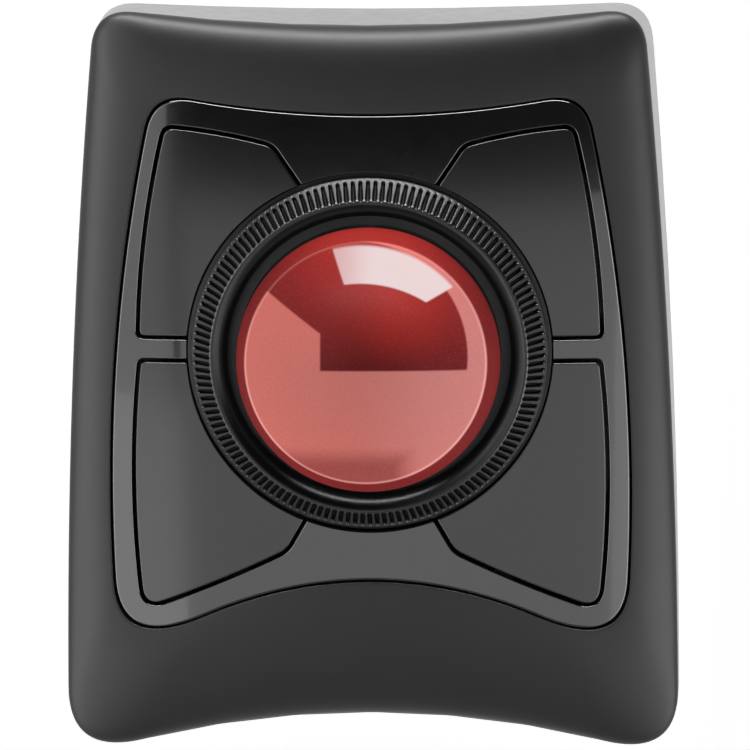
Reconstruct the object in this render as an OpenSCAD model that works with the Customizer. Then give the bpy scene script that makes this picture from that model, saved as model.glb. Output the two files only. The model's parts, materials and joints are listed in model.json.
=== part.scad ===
// Desktop trackball: a wedge-shaped case with a large ball, a scroll ring around
// the ball, four buttons in a black deck plate, and the parts inside.
// Millimetres. The origin is on the desk under the middle of the case.
// +Z is up, +Y points to the rear of the case and +X to its right.
// The deck (buttons and ring) is tilted: deck() places parts by (u, v, w), where
// u is along X, v runs up the slope to the rear and w leaves the deck at a right angle.

/* [Ball and ring] */
// Diameter of the ball
ball_d = 55; // [54.6:0.1:55.2]
// Height of the ball's centre above the deck
ball_rise = 6.3; // [6.1:0.1:6.5]
// Number of finger ribs around the scroll ring
rib_count = 144; // [72:12:144]
// Outer radius of the scroll ring's flange
ring_r = 37.4; // [37.2:0.1:37.5]
// Radius of the round opening that the ring turns in
well_r = 38.4; // [38.3:0.1:38.6]

/* [Case] */
// Height of the deck at the ring's centre
deck_h = 31.3; // [31.2:0.1:31.5]
// Distance of the ring's centre behind the origin
deck_y = 4.7; // [4.6:0.1:4.8]
// Slope of the deck, in degrees
deck_tilt = 10; // [9.9:0.1:10.1]
// Wall thickness of the case
wall = 2.2; // [2.0:0.1:2.4]
// Height of the case floor's underside above the desk
floor_z = 1.0; // [0.9:0.1:1.1]

/* [Buttons] */
// Gap around each button
button_gap = 1.1; // [0.9:0.1:1.3]
// Thickness of a button's cap
button_t = 2.0; // [1.8:0.1:2.2]

/* [Batteries] */
// Diameter of one cell
cell_d = 14.4; // [14.0:0.1:14.5]
// Length of one cell with its positive stud
cell_l = 50.5; // [50.0:0.1:50.5]

/* [Hidden] */

$fn = 32;
matte_grey = [0.27, 0.27, 0.28];
gloss_black = [0.07, 0.07, 0.08];
satin_grey = [0.20, 0.20, 0.21];
silver = [0.72, 0.73, 0.74];
deep_red = [0.52, 0.06, 0.08];
black_plastic = [0.12, 0.12, 0.12];
board_green = [0.05, 0.30, 0.16];
steel = [0.75, 0.76, 0.78];

ball_r = ball_d / 2;
crown_r = 500;           // the deck is crowned from side to side at this radius
step_per_edge = 7;       // points along a case edge
step_per_corner = 7;     // points around a case corner
roll = 2.1;              // how squarely the case's top rolls over into its sides

// Case outlines: [rear half width, rear y, front half width, front y,
//   rear bow, side bow, front bow, rear corner cut, front corner cut]
base_line = [59.0, 79.3, 65.4, -83.2, -1.6, 2.0, -10.5, 8.0, 16.0];
rim_line = [57.1, 77.0, 65.15, -83.15, -3.85, 2.0, -10.55, 8.6, 16.0];
bezel_line = [44.6, 54.8, 53.2, -67.1, -4.5, 4.9, -18.2, 8.2, 17.9];

// Deck parts, heights w above the deck
flange_top = -2.7;
flange_bottom = -4.4;
well_floor_top = -1.65;
skirt_in_r = 31.6;
skirt_out_r = 33.2;
skirt_bottom = -10;
sleeve_r = skirt_in_r - 0.06;
cup_in_r = ball_r + 0.7;
cup_out_r = cup_in_r + 2;
cup_flange_top = -10.6;
cup_flange_bottom = -12.4;
board_top = -14.0;
board_t = 1.6;

// Button hinges and switches, for the left side: [u, v] or [u, v from, v to]
pin_r = 1.0;
pin_w = -6.4;
upper_pin = [-41.2, 12, 34];
lower_pin = [-45.5, -40, -8];
upper_switch = [-28, 38];
lower_switch = [-30, -42];
switch_size = [6.5, 12.8, 6.5];
plunger_top = -6.9;
press_gap = 0.05;

// Floor and base parts
floor_top = floor_z + wall;
bay = [60, 32, 18.4];    // hollow of the battery bay
bay_y = 55.5;
cell_pitch = 15.8;
cell_z = 11.4;
rear_screw = [40, 66];
front_screw = [44, -62];
middle_screw = [0, -60];
main_board_z = 7.0;
knob_y = -52;
pair_y = -47;
foot_r = 5.5;

// ---------------------------------------------------------------- shared functions
function mix(a, b, k) = a * (1 - k) + b * k;
function unit(p) = p / norm(p);
function left_of(p) = [-p[1], p[0]];
function bezier(a, c, b, t) = (1 - t) * (1 - t) * a + 2 * t * (1 - t) * c + t * t * b;
function bezier_dir(a, c, b, t) = unit((1 - t) * (c - a) + t * (b - c));
function meet(a, da, b, db) = a + da * cross(b - a, db) / cross(da, db);

// Outline through corner points. Each edge is a shallow parabola that bows out to its
// left by bows[i]. Each corner is cut back by cuts[i] and blended smoothly.
function outline(corners, bows, cuts, per_edge, per_corner) =
    let (n = len(corners))
    [for (i = [0 : n - 1])
        let (j = (i + 1) % n,
             k = (i + 2) % n,
             a = corners[i],
             b = corners[j],
             d = corners[k],
             ab = norm(b - a),
             bd = norm(d - b),
             c1 = (a + b) / 2 + 2 * bows[i] * left_of(unit(b - a)),
             c2 = (b + d) / 2 + 2 * bows[j] * left_of(unit(d - b)),
             t0 = cuts[i] / ab,
             t1 = 1 - cuts[j] / ab,
             t2 = cuts[j] / bd,
             p1 = bezier(a, c1, b, t1),
             p2 = bezier(b, c2, d, t2),
             m = meet(p1, bezier_dir(a, c1, b, t1), p2, bezier_dir(b, c2, d, t2)))
        each concat(
            [for (s = [0 : per_edge - 1]) bezier(a, c1, b, mix(t0, t1, s / (per_edge - 1)))],
            [for (s = [1 : per_corner - 1]) bezier(p1, m, p2, s / per_corner)])];

// A case outline grown outward by g
function case_outline(line, g = 0) =
    let (r = line[0] + g, f = line[2] + g, y1 = line[1] + g, y0 = line[3] - g)
    outline([[-r, y1], [-f, y0], [f, y0], [r, y1]],
        [-line[5], -line[6], -line[5], -line[4]],
        [line[7], line[8], line[8], line[7]], step_per_edge, step_per_corner);

function crown(u) = -u * u / (2 * crown_r);
function deck_point(p, w) =
    let (h = w + crown(p[0]))
    [p[0], deck_y + p[1] * cos(deck_tilt) - h * sin(deck_tilt),
        deck_h + p[1] * sin(deck_tilt) + h * cos(deck_tilt)];
function deck_z(x, y) = deck_h + (y - deck_y) * tan(deck_tilt) + crown(x) / cos(deck_tilt);
function rim_z(y) = 23.2 + y / 5.6;  // the case splits along this sloping plane
function flat_xy(p) = [p[0], p[1]];

// Closed skin over a stack of rings; the last ring joins the first when looped
function skin_faces(rings, count, looped) = concat(
    [for (r = [0 : rings - (looped ? 1 : 2)]) for (i = [0 : count - 1])
        let (a = r * count, b = ((r + 1) % rings) * count, j = (i + 1) % count)
        each [[a + i, a + j, b + j], [a + i, b + j, b + i]]],
    looped ? [] : [[for (i = [0 : count - 1]) count - 1 - i],
        [for (i = [0 : count - 1]) (rings - 1) * count + i]]);
module skin(rings, looped = false)
    polyhedron([for (ring = rings) each ring],
        skin_faces(len(rings), len(rings[0]), looped), convexity = 8);

module deck() translate([0, deck_y, deck_h]) rotate([deck_tilt, 0, 0]) children();
module ball_frame() deck() translate([0, 0, ball_rise]) children();
module one_skin() resize([0, 0, 0]) children();
module mirrored() { children(); mirror([1, 0, 0]) children(); }
module tube(r_out, r_in, z0, z1)
    rotate_extrude($fn = 120) translate([r_in, z0]) square([r_out - r_in, z1 - z0]);

// ---------------------------------------------------------------- case
// A ring of points over the case's top: h runs from the bezel (0) to the rim (1)
function top_ring(inner, outer, h, drop) =
    [for (i = [0 : len(inner) - 1])
        let (b = deck_point(inner[i], 0),
             p = mix(flat_xy(b), outer[i], h),
             low = rim_z(outer[i][1]),
             high = deck_z(p[0], p[1]))
        [p[0], p[1], low + (high - low) * pow(1 - pow(h, roll), 1 / roll) - drop]];

module top_shell() color(matte_grey) one_skin() {
    inner = case_outline(bezel_line, 0.35);
    outer = case_outline(rim_line);
    outer_in = case_outline(rim_line, -wall);
    arc = [0, 0.25, 0.45, 0.62, 0.76, 0.87, 0.95, 0.99];
    skin(concat(
        [for (h = arc) top_ring(inner, outer, h, 0)],
        [[for (p = outer) [p[0], p[1], rim_z(p[1])]]],
        [[for (p = outer_in) [p[0], p[1], rim_z(p[1])]]],
        [for (h = [0.9, 0.6, 0.25]) top_ring(inner, outer_in, h, wall)],
        [[for (p = inner) deck_point(p, -wall)]]), looped = true);
    mirrored() translate([rear_screw[0], rear_screw[1], 0]) top_boss(22.1, 38.4);
    mirrored() translate([front_screw[0], front_screw[1], 0]) top_boss(8.1, 15.4);
    translate([middle_screw[0], middle_screw[1], 0]) top_boss(10.1, 17.0);
}
module top_boss(z0, z1) difference() {
    translate([0, 0, z0]) cylinder(h = z1 - z0, r = 3.2);
    translate([0, 0, z0 - 1]) cylinder(h = z1 - z0 - 0.5, r = 1.3);
}

// Rings around the case, grown by grow, from the split plane moved by top down to height low
function tub_rings(grow, low, top) =
    [for (k = [1, 0.5, 0]) [for (p = case_outline(mix(base_line, rim_line, k), grow))
        [p[0], p[1], mix(low, rim_z(p[1]) + top, k)]]];
module tub_outside() skin(concat(tub_rings(0, floor_z + 1, -0.1),
    [[for (p = case_outline(base_line, -1)) [p[0], p[1], floor_z]]]));

module lower_case() color(silver) one_skin() difference() {
    union() {
        difference() {
            tub_outside();
            skin(tub_rings(-wall, floor_top, 13));
        }
        intersection() {
            skin(tub_rings(-1, floor_z + 0.7, -1));
            floor_fittings();
        }
    }
    floor_openings();
}
module floor_fittings() {
    bay_out = bay + [3, 3, 0];
    translate([-bay_out[0] / 2, bay_y - bay_out[1] / 2, floor_z])
        cube([bay_out[0], bay_out[1], bay[2] + 1.6]);
    translate([37, 36.6, floor_z]) cube([18.2, 21, 8.4]);
    mirrored() {
        translate([rear_screw[0], rear_screw[1], floor_z]) cylinder(h = 22 - floor_z, r = 4.4);
        translate([front_screw[0], front_screw[1], floor_z]) cylinder(h = 8 - floor_z, r = 4.4);
        for (v = [-1, 1]) deck() translate([26.2, 26.2 * v, cup_flange_bottom - 0.05 - 40])
            cylinder(h = 40, r = 3);
        for (p = [[44, 22], [45, -12], [40, -44]]) deck()
            translate([p[0], p[1], board_top - board_t - 0.05 - 40]) cylinder(h = 40, r = 2);
        for (y = [-64, -45]) translate([33, y, floor_z])
            cylinder(h = main_board_z - 0.05 - floor_z, r = 2);
    }
    translate([middle_screw[0], middle_screw[1], floor_z]) cylinder(h = 9, r = 4.4);
}
module floor_openings() {
    translate([-bay[0] / 2, bay_y - bay[1] / 2, floor_z - 1]) cube([bay[0], bay[1], bay[2] + 1.4]);
    translate([-32, bay_y - 17.2, floor_z - 1]) cube([64, 34.4, 2.7]);
    translate([38.2, 37.8, floor_z - 1]) cube([15.8, 18.6, 8.2]);
    mirrored() {
        screw_hole(rear_screw, 14);
        screw_hole(front_screw, 4);
        deck() translate([26.2, 26.2, cup_flange_bottom - 9]) cylinder(h = 10, r = 1.1);
        deck() translate([26.2, -26.2, cup_flange_bottom - 9]) cylinder(h = 10, r = 1.1);
        translate([20, knob_y, 0]) cube([11, 5.4, 8], center = true);
        translate([54, 68, floor_z - 1]) cylinder(h = 1.6, r = foot_r + 0.15);
        translate([56, -66, floor_z - 1]) cylinder(h = 1.6, r = foot_r + 0.15);
    }
    screw_hole(middle_screw, 4.5);
    translate([0, pair_y, 0]) cylinder(h = 8, r = 2.7);
}
module screw_hole(p, head_z) translate([p[0], p[1], 0]) {
    cylinder(h = 40, r = 1.6);
    cylinder(h = head_z, r = 3);
}

module battery_door() color(silver) {
    translate([-31.7, bay_y - 16.9, floor_z]) cube([63.4, 33.8, 1.6]);
    translate([-8, bay_y - 15.7, floor_z + 1.6]) cube([16, 1.2, 3]);
    for (i = [0 : 4]) translate([-6, bay_y - 13 + i * 1.6, floor_z - 0.3]) cube([12, 0.8, 0.4]);
}

module foot(x, y) color(black_plastic) translate([x, y, 0]) {
    cylinder(h = 0.5, r1 = foot_r - 0.5, r2 = foot_r);
    translate([0, 0, 0.5]) cylinder(h = 1.05, r = foot_r);
}
module foot_rear_left() foot(-54, 68);
module foot_rear_right() foot(54, 68);
module foot_front_left() foot(-56, -66);
module foot_front_right() foot(56, -66);

module case_screws() color(steel) {
    mirrored() {
        case_screw(rear_screw, 14, 32);
        case_screw(front_screw, 4, 13);
    }
    case_screw(middle_screw, 4.5, 14.5);
}
module case_screw(p, head_z, tip_z) translate([p[0], p[1], 0]) difference() {
    union() {
        translate([0, 0, head_z - 1.7]) cylinder(h = 1.65, r = 2.6);
        translate([0, 0, head_z - 0.1]) cylinder(h = tip_z - head_z, r = 1.2);
    }
    translate([0, 0, head_z - 1.8]) cylinder(h = 1, r = 1.1, $fn = 6);
}

// ---------------------------------------------------------------- deck plate and buttons
// Button outlines on the left side, as corners, edge bows and corner cuts
module upper_plan() difference() {
    polygon(outline([[-42.2, 47.3], [-48.2, 3.5], [-30, 3.5], [-14, 34.2], [-20.3, 43.6]],
        [-1.2, 0, 0, 0, -0.55], [1.8, 1, 0.8, 0.8, 1.5], 5, 5));
    circle(r = well_r, $fn = 120);
}
module lower_plan() difference() {
    polygon(outline([[-48, -2.5], [-47.9, -55.2], [-18, -42.3], [-13.6, -34.6], [-30, -2.5]],
        [-1.5, -0.5, 0, 0, 0], [0.8, 4.2, 1.6, 0.8, 0.8], 5, 5));
    circle(r = well_r, $fn = 120);
}
// Slice of the crowned deck between two heights
module crowned(w0, w1) translate([0, 0, -crown_r]) rotate([90, 0, 0]) difference() {
    cylinder(h = 160, r = crown_r + w1, center = true, $fn = 720);
    cylinder(h = 170, r = crown_r + w0, center = true, $fn = 720);
}
module crowned_plate(w0, w1) intersection() {
    translate([0, 0, w0 - 2]) linear_extrude(w1 - w0 + 3) children();
    crowned(w0, w1);
}
module button_openings() mirrored() {
    offset(delta = button_gap) upper_plan();
    offset(delta = button_gap) lower_plan();
}
module bezel_plan(grow) difference() {
    polygon(case_outline(bezel_line, grow));
    button_openings();
    circle(r = well_r, $fn = 120);
}

module bezel() color(gloss_black) deck() {
    crowned_plate(flange_top - 0.1, 0) bezel_plan(0);
    crowned_plate(flange_bottom, flange_top) bezel_plan(1.5);
    ring_well();
    mirrored() translate([-48, -0.3, -7]) cube([9, 2.7, 4.5]);
    translate([-13, 37.4, -7]) cube([26, 9, 4.5]);
    translate([-12, -45, -7]) cube([24, 7.6, 4.5]);
    mirrored() {
        for (i = [0, 1]) {
            hinge_ear(upper_pin[0], ear_places(upper_pin)[i], upper_ear_edges[i]);
            hinge_ear(lower_pin[0], ear_places(lower_pin)[i], lower_ear_edge);
        }
    }
}
module ring_well() {
    tube(well_r - 0.2, skirt_out_r + 0.3, well_floor_top - 1.8, well_floor_top);
    tube(well_r - 0.2, well_r - 1.8, -7, well_floor_top - 1);
    tube(well_r + 2.8, well_r - 1.8, -7, -5.6);
}
// Each ear sits just inside one of the button's two arms
function ear_places(pin) = [pin[1] + 2.6, pin[2] - 4.6];
upper_ear_edges = [-50.4, -49.2];
lower_ear_edge = -54;
module hinge_ear(u, v, edge) difference() {
    translate([edge, v, pin_w - 2]) cube([u + 2 - edge, 2, 3.7]);
    translate([u, v - 1, pin_w]) rotate([-90, 0, 0]) cylinder(h = 4, r = pin_r + 0.05);
}

// A button on the left side: cap, two arms on a hinge pin, and a stem over its switch
module button(pin, stem) color(satin_grey) deck() {
    crowned_plate(-button_t, 0.15) children();
    for (v = [pin[1], pin[2] - 2]) {
        translate([pin[0] - 1.4, v, pin_w])
            cube([2.8, 2, crown(pin[0]) - button_t + 0.5 - pin_w]);
        translate([pin[0], v, pin_w]) rotate([-90, 0, 0]) cylinder(h = 2, r = 1.4);
    }
    translate([pin[0], pin[1], pin_w]) rotate([-90, 0, 0])
        cylinder(h = pin[2] - pin[1], r = pin_r);
    translate([stem[0], stem[1], plunger_top + press_gap])
        cylinder(h = -button_t - plunger_top + 0.2, r = 1.6);
}
module button_upper_left() button(upper_pin, upper_switch) upper_plan();
module button_lower_left() button(lower_pin, lower_switch) lower_plan();
module button_upper_right() mirror([1, 0, 0]) button_upper_left();
module button_lower_right() mirror([1, 0, 0]) button_lower_left();

// ---------------------------------------------------------------- scroll ring
ridge_r = 32.9;
ridge_w = 5.0;
lip_r = 29.6;
module scroll_ring() color(satin_grey) deck() difference() {
    rotate_extrude($fn = 144) polygon([
        [lip_r, 1.2], [lip_r, 2.1], [lip_r + 1.2, 3.9], [ridge_r - 0.6, 4.9], [ridge_r, ridge_w],
        [ridge_r + 0.4, ridge_w - 0.2], [ring_r - 0.6, 1.0], [ring_r, 0.4], [ring_r, -1.6],
        [skirt_out_r, -1.6], [skirt_out_r, -3.55], [skirt_out_r - 0.6, -3.55],
        [skirt_out_r - 0.6, -4.65], [skirt_out_r, -4.65], [skirt_out_r, skirt_bottom],
        [skirt_in_r, skirt_bottom], [skirt_in_r, 0.7]]);
    for (i = [0 : rib_count - 1]) rotate([0, 0, i * 360 / rib_count])
        translate([ridge_r + 0.9, 0, 4.3]) rotate([0, atan2(3.8, 3.5), 0])
            translate([0, 0, -0.5]) rotate([45, 0, 0]) cube([3.9, 0.9, 0.9]);
    for (i = [0 : 35]) rotate([0, 0, i * 10])
        translate([skirt_in_r - 1, -1.3, skirt_bottom + 0.8]) cube([4, 2.6, 1.8]);
}
module ring_clip() color(steel) deck() difference() {
    tube(34.6, skirt_out_r - 0.55, -4.6, -3.6);
    rotate([0, 0, 135]) translate([30, -1.5, -6]) cube([8, 3, 4]);
}

// ---------------------------------------------------------------- ball and its cup
bearing_r = 1.25;
bearing_drop = 50;       // each bearing touches the ball this far up from its lowest point
sensor_angle = [-90, 47]; // direction of the optics: around the deck axis, then below the deck
bearing_turns = [90, 210, 330];

module ball() color(deep_red) ball_frame() sphere(r = ball_r, $fn = 96);
module at_bearing(turn) ball_frame() rotate([0, 0, turn]) rotate([0, 180 - bearing_drop, 0])
    children();
module bearing(turn) color(steel) at_bearing(turn)
    translate([0, 0, ball_r + bearing_r + 0.02]) sphere(r = bearing_r, $fn = 32);
module bearing_rear() bearing(bearing_turns[0]);
module bearing_left() bearing(bearing_turns[1]);
module bearing_right() bearing(bearing_turns[2]);
module at_sensor() ball_frame() rotate([0, 0, sensor_angle[0]]) rotate([0, 90 + sensor_angle[1], 0])
    children();

module ball_cup() color(black_plastic) difference() {
    union() {
        ball_frame() difference() {
            sphere(r = cup_out_r, $fn = 96);
            translate([0, 0, 50 - ball_rise + 0.4]) cube(100, center = true);
        }
        deck() tube(sleeve_r, 29.2, cup_flange_bottom, 0.4);
        deck() difference() {
            tube(39.6, sleeve_r - 0.3, cup_flange_bottom, cup_flange_top);
            for (a = [45 : 90 : 315]) rotate([0, 0, a])
                translate([37.05, 0, -20]) cylinder(h = 12, r = 1.4);
        }
        for (turn = bearing_turns) at_bearing(turn)
            translate([0, 0, cup_in_r + 0.4]) cylinder(h = 3.4, r = 2.6);
    }
    ball_frame() sphere(r = cup_in_r, $fn = 96);
    for (turn = bearing_turns) at_bearing(turn)
        translate([0, 0, ball_r + bearing_r + 0.02]) sphere(r = bearing_r + 0.03, $fn = 32);
    at_sensor() translate([0, 0, 20]) cylinder(h = 14, r = 4.2);
    ball_frame() translate([0, 0, -40]) cylinder(h = 20, r = 2);
    deck() rotate([0, 0, 90]) translate([29, -5.5, -13.8]) cube([12, 11, 7.4]);
}
module cup_screws() color(steel) deck() for (a = [45 : 90 : 315]) rotate([0, 0, a])
    translate([37.05, 0, 0]) {
        translate([0, 0, cup_flange_top + 0.05]) cylinder(h = 1.3, r = 2.1);
        translate([0, 0, cup_flange_bottom - 7]) cylinder(h = 9, r = 1.05);
    }

// ---------------------------------------------------------------- sensors
module sensor_lens() color([0.85, 0.9, 0.95]) at_sensor() difference() {
    union() {
        translate([0, 0, 29.2]) cylinder(h = 1.4, r = 3.9);
        translate([0, 0, 30.55]) cylinder(h = 1.4, r = 5);
    }
    translate([0, 0, 29]) cylinder(h = 0.8, r = 2.2);
}
module sensor_chip() color(black_plastic) at_sensor()
    translate([-3.6, -4.2, 32.1]) cube([7.2, 8.4, 1.8]);
module sensor_board() color(board_green) at_sensor() difference() {
    translate([-5.6, -9, 34.0]) cube([11.2, 18, 1.2]);
    for (y = [-7.4, 7.4]) translate([0, y, 33]) cylinder(h = 3, r = 0.9);
}
module encoder_sensor() color(black_plastic) deck() rotate([0, 0, 90]) difference() {
    translate([30.2, -3.1, -12.2]) cube([4.4, 6.2, 5.4]);
    translate([skirt_in_r - 0.35, -4, skirt_bottom - 0.6]) cube([2.3, 8, 6]);
}
module encoder_board() color(board_green) deck() rotate([0, 0, 90])
    translate([29.3, -5, -13.6]) cube([8, 10, 1.35]);

// ---------------------------------------------------------------- switches under the buttons
module switch_board() color(board_green) deck()
    translate([0, 0, board_top - board_t]) linear_extrude(board_t) difference() {
        polygon(outline([[-24, 46.5], [-48.5, 34], [-51, -30], [-45, -49], [-24, -49]],
            [0, 0, 0, 0, 0], [3, 5, 8, 4, 3], 3, 4));
        circle(r = 41.2, $fn = 96);
    }
module switch_board_left() switch_board();
module switch_board_right() mirror([1, 0, 0]) switch_board();

module micro_switch(p) color(black_plastic) deck() translate([p[0], p[1], board_top + 0.02])
    difference() {
        translate([-switch_size[0] / 2, -switch_size[1] / 2, 0]) cube(switch_size);
        translate([0, 0, switch_size[2] - 1.6]) cylinder(h = 3, r = 1.0);
        for (y = [-3.25, 3.25]) translate([-5, y, 1.6]) rotate([0, 90, 0])
            cylinder(h = 10, r = 0.6);
    }
module switch_upper_left() micro_switch(upper_switch);
module switch_lower_left() micro_switch(lower_switch);
module switch_upper_right() mirror([1, 0, 0]) switch_upper_left();
module switch_lower_right() mirror([1, 0, 0]) switch_lower_left();

module plunger(p) color([0.9, 0.9, 0.9]) deck()
    translate([p[0], p[1], plunger_top - 1.6]) cylinder(h = 1.6, r = 0.9);
module plunger_upper_left() plunger(upper_switch);
module plunger_lower_left() plunger(lower_switch);
module plunger_upper_right() mirror([1, 0, 0]) plunger_upper_left();
module plunger_lower_right() mirror([1, 0, 0]) plunger_lower_left();

// ---------------------------------------------------------------- main board and base switches
module main_board() color(board_green) difference() {
    translate([-38, -66.5, main_board_z]) cube([76, 24, 1.6]);
    translate([middle_screw[0], middle_screw[1], 0]) cylinder(h = 20, r = 5);
}
module controller_chip() color(black_plastic)
    translate([-24, -62, main_board_z + 1.62]) cube([8, 8, 1.1]);
module radio_shield() color(steel) translate([12, -63, main_board_z + 1.62]) difference() {
    cube([15, 11, 2.2]);
    translate([0.3, 0.3, -1]) cube([14.4, 10.4, 2.9]);
}

module slide_switch(x) color(steel) difference() {
    translate([x - 5.4, knob_y - 2.6, 4.2]) cube([10.8, 5.2, main_board_z - 4.25]);
    translate([x - 3.6, knob_y - 1.2, 4]) cube([7.2, 2.4, 2]);
}
module slide_knob(x) color(black_plastic) {
    translate([x - 5.0, knob_y - 2.4, 1.5]) cube([7, 4.8, 2.4]);
    translate([x - 3.2, knob_y - 0.8, 3.8]) cube([3, 1.6, 1.6]);
    for (i = [0 : 3]) translate([x - 4.4 + i * 1.5, knob_y - 2, 1.2]) cube([0.8, 4, 0.4]);
}
module power_switch() slide_switch(-20);
module power_knob() slide_knob(-20);
module mode_switch() slide_switch(20);
module mode_knob() slide_knob(20);
module pair_switch() color(steel) translate([-3, pair_y - 3, 5.3])
    cube([6, 6, main_board_z - 5.35]);
module pair_button() color(black_plastic) translate([0, pair_y, 0]) {
    translate([0, 0, 1.4]) cylinder(h = 2.4, r = 2.5);
    translate([0, 0, 3.7]) cylinder(h = 1.1, r = 3.6);
}

// ---------------------------------------------------------------- power
// A cell along X with its stud towards +X
module cell() color([0.35, 0.35, 0.38]) rotate([0, 90, 0]) {
    translate([0, 0, -cell_l / 2]) cylinder(h = cell_l - 1.2, r = cell_d / 2, $fn = 64);
    translate([0, 0, cell_l / 2 - 1.3]) cylinder(h = 1.3, r = 2.7);
}
cell_shift = 4.0;        // each cell sits off centre to leave room for its spring
module battery_front() translate([cell_shift, bay_y - cell_pitch / 2, cell_z]) cell();
module battery_rear() translate([-cell_shift, bay_y + cell_pitch / 2, cell_z])
    mirror([1, 0, 0]) cell();

// Conical contact spring, wound along X from the bay's end wall to the cell's flat end
spring_turns = 3.5;
spring_l = 7.9;
function spring_ring(a) =
    let (k = a / (360 * spring_turns), r = mix(5.2, 3, k), x = mix(0.5, spring_l - 0.5, k))
    [for (b = [0 : 60 : 300])
        let (q = r + 0.4 * cos(b))
        [x + 0.4 * sin(b), q * cos(a), q * sin(a)]];
module spring() color(steel)
    skin([for (s = [0 : 24 * spring_turns]) spring_ring(s * 15)]);
module battery_spring_front()
    translate([-bay[0] / 2 + 0.6, bay_y - cell_pitch / 2, cell_z]) spring();
module battery_spring_rear()
    translate([bay[0] / 2 - 0.6, bay_y + cell_pitch / 2, cell_z]) mirror([1, 0, 0]) spring();
module contact_plates() color(steel) for (s = [-1, 1]) {
    translate([s * (bay[0] / 2 - 0.35) - 0.2, bay_y - s * cell_pitch / 2 - 5, cell_z - 5])
        cube([0.4, 10, 10]);
    translate([-s * (bay[0] / 2 - 0.3) - 0.2, bay_y - s * cell_pitch / 2 - 6, cell_z - 6])
        cube([0.4, 12, 12]);
}
module usb_receiver() {
    color(black_plastic) translate([38.9, 49.2, 1.5]) cube([14.4, 6.8, 6]);
    color(steel) translate([40.1, 38.2, 2.3]) difference() {
        cube([12, 11.2, 4.5]);
        translate([0.4, -1, 2.3]) cube([11.2, 9, 1.8]);
    }
}

top_shell();
lower_case();
battery_door();
bezel();
button_upper_left();
button_upper_right();
button_lower_left();
button_lower_right();
scroll_ring();
ring_clip();
ball();
ball_cup();
bearing_rear();
bearing_left();
bearing_right();
switch_board_left();
switch_board_right();
switch_upper_left();
switch_upper_right();
switch_lower_left();
switch_lower_right();
plunger_upper_left();
plunger_upper_right();
plunger_lower_left();
plunger_lower_right();
encoder_board();
encoder_sensor();
sensor_board();
sensor_chip();
sensor_lens();
main_board();
controller_chip();
radio_shield();
power_switch();
power_knob();
mode_switch();
mode_knob();
pair_switch();
pair_button();
battery_front();
battery_rear();
battery_spring_front();
battery_spring_rear();
contact_plates();
usb_receiver();
foot_rear_left();
foot_rear_right();
foot_front_left();
foot_front_right();
case_screws();
cup_screws();
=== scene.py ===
import json
import math

import bmesh
import bpy
import numpy as np
from mathutils import Matrix, Vector
from mathutils.geometry import delaunay_2d_cdt

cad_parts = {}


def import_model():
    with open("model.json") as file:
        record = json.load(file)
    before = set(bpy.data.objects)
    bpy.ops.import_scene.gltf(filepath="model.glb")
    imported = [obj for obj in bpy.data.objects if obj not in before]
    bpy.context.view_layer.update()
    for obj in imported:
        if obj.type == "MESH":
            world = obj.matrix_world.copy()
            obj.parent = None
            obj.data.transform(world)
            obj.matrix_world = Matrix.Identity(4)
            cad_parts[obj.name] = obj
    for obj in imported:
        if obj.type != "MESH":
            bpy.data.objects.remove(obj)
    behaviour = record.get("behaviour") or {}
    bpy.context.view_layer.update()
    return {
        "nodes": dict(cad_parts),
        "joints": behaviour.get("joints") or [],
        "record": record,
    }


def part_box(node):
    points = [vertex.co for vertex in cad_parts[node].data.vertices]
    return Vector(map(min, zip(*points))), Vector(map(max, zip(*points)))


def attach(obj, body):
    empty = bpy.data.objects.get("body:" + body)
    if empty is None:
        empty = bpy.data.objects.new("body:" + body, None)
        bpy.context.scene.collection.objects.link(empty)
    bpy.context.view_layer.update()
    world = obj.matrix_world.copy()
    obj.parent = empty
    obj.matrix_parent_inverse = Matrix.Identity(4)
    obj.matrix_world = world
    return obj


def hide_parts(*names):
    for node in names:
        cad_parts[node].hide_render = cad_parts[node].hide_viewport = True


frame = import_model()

# A desktop trackball. Lengths in this script are in millimetres; MM turns them into metres.
MM = 0.001

# ------------------------------------------------------------------ places from the frame
JOINTS = {j["name"]: j for j in frame["joints"]}
DECK_AXIS = np.array(JOINTS["ring_turn"]["axis"], float)
DECK_AXIS /= np.linalg.norm(DECK_AXIS)
DECK_POS = np.array(JOINTS["ring_turn"]["pos_m"], float) / MM
DECK_TILT = math.atan2(-DECK_AXIS[1], DECK_AXIS[2])
BALL_POS = np.array(JOINTS["ball_roll"]["pos_m"], float) / MM


def box_mm(node):
    low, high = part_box(node)
    return np.array(low) / MM, np.array(high) / MM


BALL_R = (box_mm("ball")[1][0] - box_mm("ball")[0][0]) / 2
RING_R = (box_mm("scroll_ring")[1][0] - box_mm("scroll_ring")[0][0]) / 2

# ------------------------------------------------------------------ design values, as in the CAD
CROWN_R = 500.0
WELL_R = RING_R + 1.0         # the deck's opening around the ring
WALL = 2.2
ROLL = 2.1                    # exponent of the curve that rolls from the deck to the rim
RIM_RISE = 1 / 5.6            # slope of the split between frame and housing
RIM_MIDDLE = 23.2             # its height at y = 0
FRAME_GAP = 0.35              # between the deck plate and the frame around it
# rear half width, rear y, front half width, front y, rear bow, side bow, front bow, corner cuts
RIM_LINE = [57.1, 77.0, 65.15, -83.15, -3.85, 2.0, -10.55, 8.6, 16.0]
BEZEL_LINE = [44.6, 54.8, 53.2, -67.1, -4.5, 4.9, -18.2, 8.2, 17.9]
# the grooves around the buttons are drawn narrower than the CAD's clearance
BUTTON_GAP = 0.95
CAP_GROW = 0.15

# ball: flake size (mm), and the shapes of the painted studio reflection on its skin, in parts of its
# radius
FLAKE = 0.16
DOME = (-0.006, -0.01, 0.915)
GAP_LOW = -0.054
GAP_STEP = -0.3285
GAP_SHOULDER = 0.2234


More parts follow.
